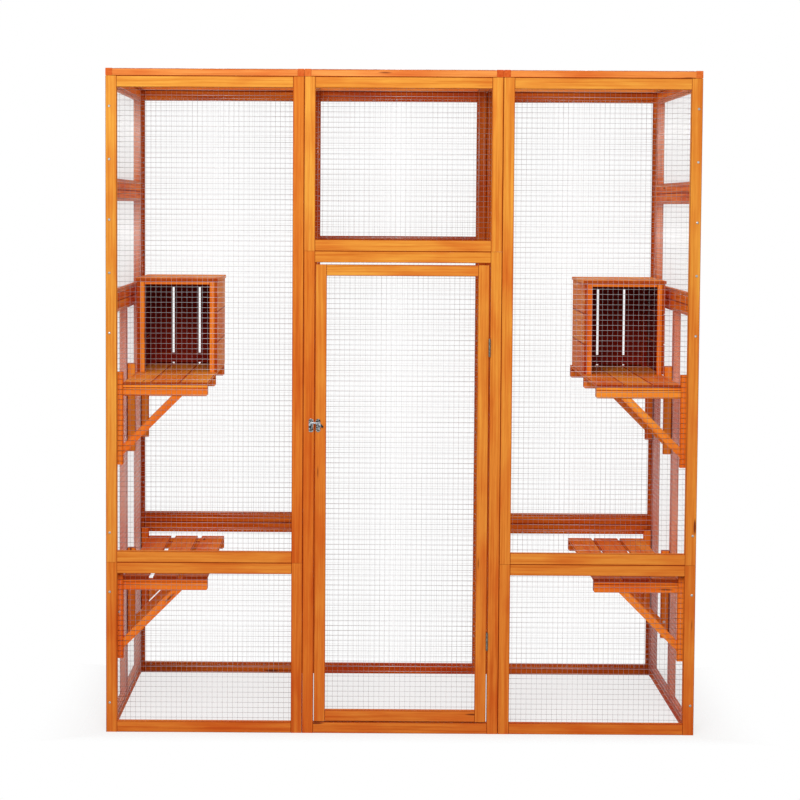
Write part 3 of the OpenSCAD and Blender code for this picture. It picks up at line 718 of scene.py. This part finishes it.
# %% Where each mesh lies
wire_pitch, net_inset = 0.0139, 0.022
two_frames = ["lower_frame", "upper_frame"]
side_frames = ["bottom_frame", "middle_frame", "top_frame"]
frames_of = {"front_left_mesh": two_frames, "front_centre_mesh": ["upper_frame"],
             "front_right_mesh": two_frames, "back_left_mesh": two_frames,
             "back_centre_mesh": two_frames, "back_right_mesh": two_frames,
             "left_side_mesh": side_frames, "right_side_mesh": side_frames,
             "roof_mesh": ["left_frame", "centre_frame", "right_frame"],
             "door_mesh": ["frame"]}
towards_mesh = {"front": (0, 1, 0), "door": (0, 1, 0), "back": (0, -1, 0),
                "left": (1, 0, 0), "right": (-1, 0, 0), "roof": (0, 0, 1)}
print("panels of mesh:", sum(len(frames) for frames in frames_of.values()))

# %% [markdown]
# The plane of a panel could be typed in for each of them, but it is all in the box of the
# timber frame: where the mesh starts, how far it reaches both ways, and which face of the
# timber it lies on. On the roof, which lies flat, level means from side to side, and
# upright from front to back.

# %% The plane of a panel
def panel_plane(node, frame_node):
    """Where a panel's mesh starts, its two directions, its two sizes and its outside."""
    out = Vector(towards_mesh[node.split("_")[0]])
    normal = max(range(3), key=lambda i: abs(out[i]))
    a, b = [i for i in range(3) if i != normal]
    level, upright = Vector(), Vector()
    level[a], upright[b] = 1, 1
    low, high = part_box(node.replace("mesh", "") + frame_node)
    corner = low + (level + upright) * net_inset
    corner[normal] = high[normal] if sum(out) > 0 else low[normal]
    size = (high[a] - low[a] - 2 * net_inset, high[b] - low[b] - 2 * net_inset)
    return corner, level, upright, size, out


print("the door's mesh starts at", panel_plane("door_mesh", "frame")[0])

# %% [markdown]
# The fixed frame has only one wire in four, so the whole mesh is drawn again here. One
# layer of wires lies on the other and is welded to it, so each crossing sinks in by a
# twentieth of a wire. An array modifier could repeat one wire, but its last wire would
# seldom fall on the panel's edge, so the wires are set out from edge to edge in a whole
# number of squares. Staples hold every fifth wire near both its ends. In the photograph
# the level wires of the front and the door show more strongly than the upright ones, so
# they are drawn 0.84 mm thick, and the upright ones 0.52 mm. All others are 0.5 mm thick.

# %% Weave one panel
staple_every, staple_first, staple_in, crown_above = 5, 2, 0.0045, 0.0003
# The thickness of the upright and of the level wires, and what a weld sinks in of one.
front_wires, other_wires, weld = (0.00052, 0.00084), (0.0005, 0.0005), 0.05


def weave(wires, staples, node, frame_node):
    """Draws the wires and the staples over one frame, and counts both."""
    corner, level, upright, size, out = panel_plane(node, frame_node)
    upright_d, level_d = front_wires if node.startswith(("front", "door")) else other_wires
    upright_lift = (0.5 + weld) * upright_d
    level_lift = (1 + weld) * upright_d + (0.5 - weld) * level_d
    wire_count = staple_count = 0
    for along, across, length, span, wire_d, lift in (
            (upright, level, size[1], size[0], upright_d, upright_lift),
            (level, upright, size[0], size[1], level_d, level_lift)):
        n = round(span / wire_pitch)
        wire_count += n + 1
        for i in range(n + 1):
            at = corner + across * (wire_d / 2 + (span - wire_d) * i / n)
            rod(wires, at + along * (length / 2) + out * lift, along, length, wire_d)
            if i % staple_every == staple_first:
                for end in (staple_in, length - staple_in):
                    staple(staples, at + along * end, across, out,
                           lift + wire_d / 2 + crown_above)
                    staple_count += 1
    return wire_count, staple_count


# %% [markdown]
# The fixed frame has ten meshes, each over one to three panels, so ten pieces of wires stand
# for them, and ten of staples are new. Every wire could be an object of its own, but
# two thousand objects are slow to handle, and no wire of a welded mesh moves by itself.

# %% Mesh and staples
total_wires = total_staples = 0
for node in sorted(frames_of):
    wires, staples = bmesh.new(), bmesh.new()
    for frame_node in frames_of[node]:
        wire_count, staple_count = weave(wires, staples, node, frame_node)
        total_wires += wire_count
        total_staples += staple_count
    body = nodes[node]["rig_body"]
    finish = galvanised if node.startswith(("front", "door")) else painted_light_galvanised
    add_piece(node + "_wires", wires, finish, body, node).data.shade_smooth()
    add_piece(node + "_staples", staples, galvanised, body)
print("wires:", total_wires, "staples:", total_staples)

# %% [markdown]
# The screws are turned steel, zinc plated in a bath. In the posts the plating is bright, and
# each head shows as a small light dot on the orange timber. The hinges, and the screws in
# them and in the latch, have a duller zinc, which shows as a dark grey.

# %% Zinc-plated steel
zinc = metal("zinc_plated_steel", "#C2C3C2", "#8E908F", 0.3, 6)
dull_zinc = metal("dull_zinc_plated_steel", "#7C7872", "#4A4642", 0.42, 3)
print("screw metals:", zinc.name, "and", dull_zinc.name)

# %% [markdown]
# To cut a cross into a head, the head has to be found. A screw is longest along its own
# axis, and only its head is as wide as the whole screw, so the points furthest out to one
# side tell which end the head is at. The places of 48 screws could be typed in, but one
# that moves in the fixed frame would then lose its cross.

# %% Find a screw's head
nearly_widest = 0.45


def screw_head(screw):
    """The middle of a screw's head, the way it faces and its width."""
    points = np.array([v.co for v in screw])
    low, high = points.min(0), points.max(0)
    k = int(np.argmax(high - low))
    side = 0 if k else 1
    head_d = float((high - low)[side])
    rim = points[np.abs(points[:, side] - (low + high)[side] / 2) > head_d * nearly_widest]
    at_the_top = rim[0][k] > (low + high)[k] / 2
    out, middle = Vector(), Vector((low + high) / 2)
    out[k] = 1 if at_the_top else -1
    middle[k] = high[k] if at_the_top else low[k]
    return middle, out, head_d


# %% [markdown]
# The slots of the screws are crossed, and the fixed frame leaves them out. A bump could draw
# them, but a cut holds its shade from every side. Two thin blades are laid across each
# head, sized as parts of its width. Every screw was driven by hand, so each cross is
# turned differently.

# %% Blades for the crossed slots
slot_long, slot_wide, slot_deep = 0.58, 0.13, 0.36


def cross_cutters(screws, rng):
    """Two blades for each screw's head, sized by the head and turned by chance."""
    cutter = bmesh.new()
    for screw in screws:
        middle, out, head_d = screw_head(screw)
        turn = out.to_track_quat("Z", "Y").to_matrix().to_4x4()
        turn = turn @ Matrix.Rotation(rng.uniform(0, 3), 4, "Z")
        size = Matrix.Diagonal((head_d * slot_long, head_d * slot_wide, head_d * slot_deep, 1))
        for quarter in (0, math.pi / 2):
            bmesh.ops.create_cube(cutter, size=1, matrix=Matrix.Translation(middle) @ turn
                                  @ Matrix.Rotation(quarter, 4, "Z") @ size)
    return cutter


# %% [markdown]
# A Boolean takes all the blades of a piece out of it at once. The blades could be merged
# with the heads in bmesh, but it has no operator that cuts one solid with another. The
# result is kept as a plain mesh, and the blades are deleted.

# %% Cut the crosses
def add_crossed(shape, name, finish, body, node=None):
    """Adds a piece of screws with a cross cut into each head."""
    screws = islands(shape)
    cutter = cross_cutters(screws, random.Random(name))
    piece = add_piece(name + "_crossed", shape, finish, body, node)
    cut_mesh = bpy.data.meshes.new("cross_cutter")
    cutter.to_mesh(cut_mesh)
    cutter.free()
    cut = bpy.data.objects.new("cross_cutter", cut_mesh)
    bpy.context.scene.collection.objects.link(cut)
    boolean = piece.modifiers.new("cross", "BOOLEAN")
    boolean.operation, boolean.object, boolean.solver = "DIFFERENCE", cut, "EXACT"
    boolean.use_self = True
    bpy.context.view_layer.update()
    seen = piece.evaluated_get(bpy.context.evaluated_depsgraph_get())
    cut_piece = bpy.data.meshes.new_from_object(seen)
    piece.modifiers.clear()
    piece.data = cut_piece
    bpy.data.objects.remove(cut)
    return len(screws)


# %% [markdown]
# Thirty-two wood screws hold the outer posts to the side walls, eight to a post, and
# sixteen small ones hold the hinges and the latch. They could be modelled afresh, but the
# fixed frame has them all, in their places, so only crosses and plating are added.

# %% Screws of the fixed frame
for name in nodes:
    if slot_of[name] == "screw_zinc":
        finish = dull_zinc if "hardware" in name else zinc
        print(name, add_crossed(merged_copy(name), name, finish, nodes[name]["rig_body"], name))

# %% [markdown]
# Two more screws show inside the cage, in the front faces of two legs under the lower
# shelves: the front leg on the left and the middle one on the right. A screw is round about
# its axis, so half of its outline is drawn, from the point of the shank to the top of the
# raised countersunk head, and spun. That is closer to how a screw is turned than a stack of
# cylinders and cones would be. The head stands only 1 mm proud, clear of the wires.

# %% Screws in two bracket legs
# Where the photograph shows them, each on the front face of its leg.
leg_screw_places = ((-0.7666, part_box("lower_left_brackets")[0].y, 0.3258),
                    (0.7645, front_y + 0.345, 0.2454))
# How far out and how far forward each point of the outline is, in millimetres.
outline_mm = ((0, -10), (1.5, -10), (1.5, -2.4), (3.6, 0), (3.2, 0.5), (1.8, 0.85), (0, 0.95))
leg_screws = bmesh.new()
for x, y, z in leg_screw_places:
    outline = [leg_screws.verts.new((x + r / 1000, y - proud / 1000, z))
               for r, proud in outline_mm]
    lines = [leg_screws.edges.new(pair) for pair in zip(outline, outline[1:])]
    bmesh.ops.spin(leg_screws, geom=outline + lines, cent=(x, y, z), axis=(0, 1, 0),
                   angle=2 * math.pi, steps=20, use_merge=True)
bmesh.ops.remove_doubles(leg_screws, verts=leg_screws.verts, dist=same_point)
print("leg screws:", add_crossed(leg_screws, "bracket_leg_screws", zinc,
                                 nodes["lower_left_brackets"]["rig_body"]))

# %% [markdown]
# The hinges are stamped from steel sheet and zinc plated, as dull as their screws. The hook
# of the latch is chromed: it is smooth, and mirrors the white room and the orange post
# beside it. Its two plates are rougher, and light and nearly black patches are painted into
# their chrome, as painted reflections. The thumb tab at the end of the hook is painted a dark,
# half matt grey, as painted shade on its curve. One chrome for all of them would leave the
# latch a plain grey.

# %% Metals of the latch
chrome = metal("chromed_steel", "#D8DCE0", "#6A7078", 0.14, 7, 0.03)
# The plates' light and nearly black patches are painted reflections.
plate_chrome = metal("chromed_steel_plate", "#A8ACAE", "#1C2022", 0.2, 5, 0.03, (0.45, 0.57))
# The tab's near black is painted shade on its curve.
tab_painted_shade = metal("dark_steel_with_painted_shade", "#2A3236", "#14181A", 0.5, 2)
print("latch metals:", chrome.name, plate_chrome.name, tab_painted_shade.name)

# %% [markdown]
# Stamping and casting leave no edge quite sharp, and it is the rounded edges that catch the
# light. They could be rounded in the fixed frame, but that would cost its solids many small
# faces. So each edge that turns by more than 0.9 radians is bevelled here by a quarter of
# a millimetre, in two steps. A cut round the hook parts its faces where the tab begins,
# and those beyond the cut are given the dark steel that paints the tab's shade.

# %% Hinges and latch
sharp_turn, edge_radius, tab_length = 0.9, 0.00025, 0.0065
latch_finish = {"latch_lever": chrome, "latch_plate": plate_chrome,
                "latch_keeper": plate_chrome}
for name in nodes:
    if slot_of[name] in ("hinge_zinc", "latch_chrome"):
        shape = merged_copy(name)
        sharp = [e for e in shape.edges
                 if len(e.link_faces) == 2 and e.calc_face_angle() > sharp_turn]
        bmesh.ops.bevel(shape, geom=sharp, offset=edge_radius, segments=2, profile=0.5,
                        affect="EDGES", material=-1, clamp_overlap=True)
        if name == "latch_lever":
            tab_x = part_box(name)[1].x - tab_length
            bmesh.ops.bisect_plane(shape, geom=shape.verts[:] + shape.edges[:] + shape.faces[:],
                                   plane_co=(tab_x, 0, 0), plane_no=(1, 0, 0))
            for face in shape.faces:
                face.material_index = int(face.calc_center_median().x > tab_x)
        piece = add_piece(name + "_eased", shape, latch_finish.get(name, dull_zinc),
                          nodes[name]["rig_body"], name)
        if name == "latch_lever":
            piece.data.materials.append(tab_painted_shade)
        print(name, len(piece.data.polygons))
